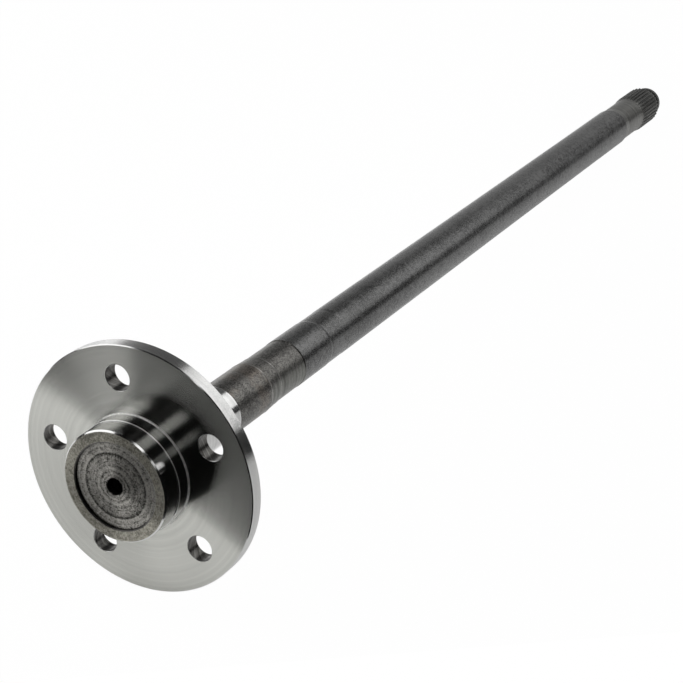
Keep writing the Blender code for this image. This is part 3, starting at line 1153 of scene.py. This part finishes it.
# %% Room
ROOM_GREY = 0.004
world = bpy.data.worlds.new("studio")
bpy.context.scene.world = world
world.use_nodes = True
sky = world.node_tree
dark_room = sky.nodes["Background"]
dark_room.inputs["Color"].default_value = (ROOM_GREY, ROOM_GREY, ROOM_GREY, 1.0)
white_ground = sky.nodes.new("ShaderNodeBackground")
white_ground.inputs["Color"].default_value = (1.0, 1.0, 1.0, 1.0)
path = sky.nodes.new("ShaderNodeLightPath")
chooser = sky.nodes.new("ShaderNodeMixShader")
sky.links.new(path.outputs["Is Camera Ray"], chooser.inputs["Fac"])
sky.links.new(dark_room.outputs["Background"], chooser.inputs[1])
sky.links.new(white_ground.outputs["Background"], chooser.inputs[2])
sky.links.new(chooser.outputs["Shader"], sky.nodes["World Output"].inputs["Surface"])
print("World:", world.name)

# %% [markdown]
# ## A soft light
#
# Every lamp is a plain rectangle, as a studio's soft boxes are. Its brightness is given as the radiance
# that a mirror would show, because that is what can be read from a photograph of steel, and the power
# follows from its area. Two lamps are there for the table and the dull scale only. In the bright steel
# they would put a grey haze over the dark parts, so they are kept out of reflections.

# %% Helper for a soft light
def soft_light(name, place, aim, width, height, radiance, mirrored=True):
    """A rectangular soft light that faces a point. radiance is how bright it looks: 1 is paper white."""
    lamp = bpy.data.lights.new(name, "AREA")
    lamp.shape = "RECTANGLE"
    lamp.size = width
    lamp.size_y = height
    lamp.energy = radiance * math.pi * width * height
    obj = in_scene(name, lamp)
    toward = Vector(aim) - Vector(place)
    facing = toward.to_track_quat("-Z", "Y").to_matrix().to_4x4()
    obj.matrix_world = Matrix.Translation(place) @ facing
    obj.visible_camera = False
    obj.visible_glossy = mirrored
    print(name, "shines with", round(lamp.energy, 2), "W")


# %% [markdown]
# ## The lights
#
# A bright surface shows what stands in its mirror direction, so the lamps stand where the line of sight
# leads when it turns off the steel. The left board and the backdrop show at the upper left of the boss
# and the shaft, and the far wall along their top and upper right. Between it and the table a dark gap
# stays. The face is brushed and gathers light from a whole fan of directions, and the four lights that
# are aimed at the flange are there for it. The lamps overhead light the table and the scale.

# %% Lights
BY_FLANGE = (-0.44, 0.0, 0.1)

soft_light("overhead", (-0.50, 0.55, 1.5), (-0.45, 0.0, 0.0), 0.70, 0.80, 4.6, mirrored=False)
soft_light("small_overhead", (-0.45, 0.10, 1.6), (-0.45, 0.0, 0.0), 0.25, 0.25, 3.0)
soft_light("backdrop", (1.5, 0.65, 0.42), (-0.30, 0.0, 0.3), 1.9, 0.85, 0.34)
soft_light("left_board", (0.35, 1.05, 0.20), (0.35, 0.0, 0.20), 1.3, 0.44, 1.0)
soft_light("far_overhead", (0.35, -0.50, 1.6), (0.30, -0.1, 0.0), 0.8, 0.7, 1.4)
soft_light("left_light", (-0.86, 1.16, 0.82), BY_FLANGE, 0.77, 1.15, 1.5)
soft_light("left_card", (-1.33, 0.78, 0.29), BY_FLANGE, 0.36, 0.79, 1.1)
soft_light("right_light", (-0.15, -1.35, 0.75), (-0.15, 0.0, 0.3), 1.6, 1.4, 0.5, mirrored=False)
soft_light("front_light", (-1.73, -0.35, 1.59), BY_FLANGE, 0.56, 0.42, 1.45)
soft_light("camera_light", (-1.54, -0.92, 0.80), BY_FLANGE, 0.20, 0.32, 0.9)
soft_light("far_wall", (3.5, 0.3, 1.9), (0.0, 0.3, 1.9), 7.0, 3.8, 0.11)

# %% [markdown]
# ## The slanting panel
#
# The highlight at the upper right of the shaft changes its width on the way, which a rectangle can't do.
# So one far card is a free polygon. Each corner is given as the direction in which it stands from the
# shaft, azimuth and elevation in degrees, because a reflection tells a direction and not a distance.

# %% Panel behind the shaft
PANEL_FROM = Vector((-0.1, 0.0, 0.06))
PANEL_AZIMUTH = -22.0
PANEL_DISTANCE = 4.0
PANEL_RADIANCE = 1.27
PANEL_CORNERS = ((-25, 12), (-46, 12), (-46, 50), (1, 50), (1, 39))


def panel_point(azimuth, elevation):
    """Where a corner stands, on the panel's upright plane."""
    turn = math.radians(PANEL_AZIMUTH)
    away = Vector((math.cos(turn), math.sin(turn), 0.0))
    aside = Vector((-math.sin(turn), math.cos(turn), 0.0))
    off = math.radians(azimuth - PANEL_AZIMUTH)
    point = PANEL_FROM + PANEL_DISTANCE * (away + aside * math.tan(off))
    point.z += PANEL_DISTANCE * math.tan(math.radians(elevation)) / math.cos(off)
    return point


def glowing_material(name, radiance):
    """A plain glow of one brightness."""
    glow = bpy.data.materials.new(name)
    glow.use_nodes = True
    tree = glow.node_tree
    emission = tree.nodes.new("ShaderNodeEmission")
    emission.inputs["Strength"].default_value = radiance
    tree.links.new(emission.outputs["Emission"], tree.nodes["Material Output"].inputs["Surface"])
    return glow


card = bmesh.new()
card.faces.new([card.verts.new(panel_point(*corner)) for corner in PANEL_CORNERS])
panel = in_scene("back_panel", mesh_from(card, "back_panel"))
panel.data.materials.append(glowing_material("back_panel", PANEL_RADIANCE))
panel.visible_camera = False
print("Panel corners:", len(PANEL_CORNERS))

# %% [markdown]
# ## The camera
#
# The camera stands before the flange, about a metre away, to its right and above it, and looks down
# along the shaft. From so near, the flange looks large and the splines small. The plain Standard view
# keeps the white ground white.

# %% Camera
CAMERA_OFFSET = Vector((-0.68859, -0.50082, 0.52910))
LOOK = Vector((0.77978909, 0.41688315, -0.46705184))
SENSOR_WIDTH = 36.0
LENS = 91.638

camera_data = bpy.data.cameras.new("camera")
camera_data.lens = LENS
camera_data.sensor_width = SENSOR_WIDTH
camera_data.clip_end = 100.0
camera = in_scene("camera", camera_data)
aimed = LOOK.to_track_quat("-Z", "Y").to_matrix().to_4x4()
camera.matrix_world = Matrix.Translation(face_centre + CAMERA_OFFSET) @ aimed
bpy.context.scene.camera = camera
bpy.context.scene.view_settings.view_transform = "Standard"
print("Camera distance from the wheel face:", round(CAMERA_OFFSET.length, 3), "m")
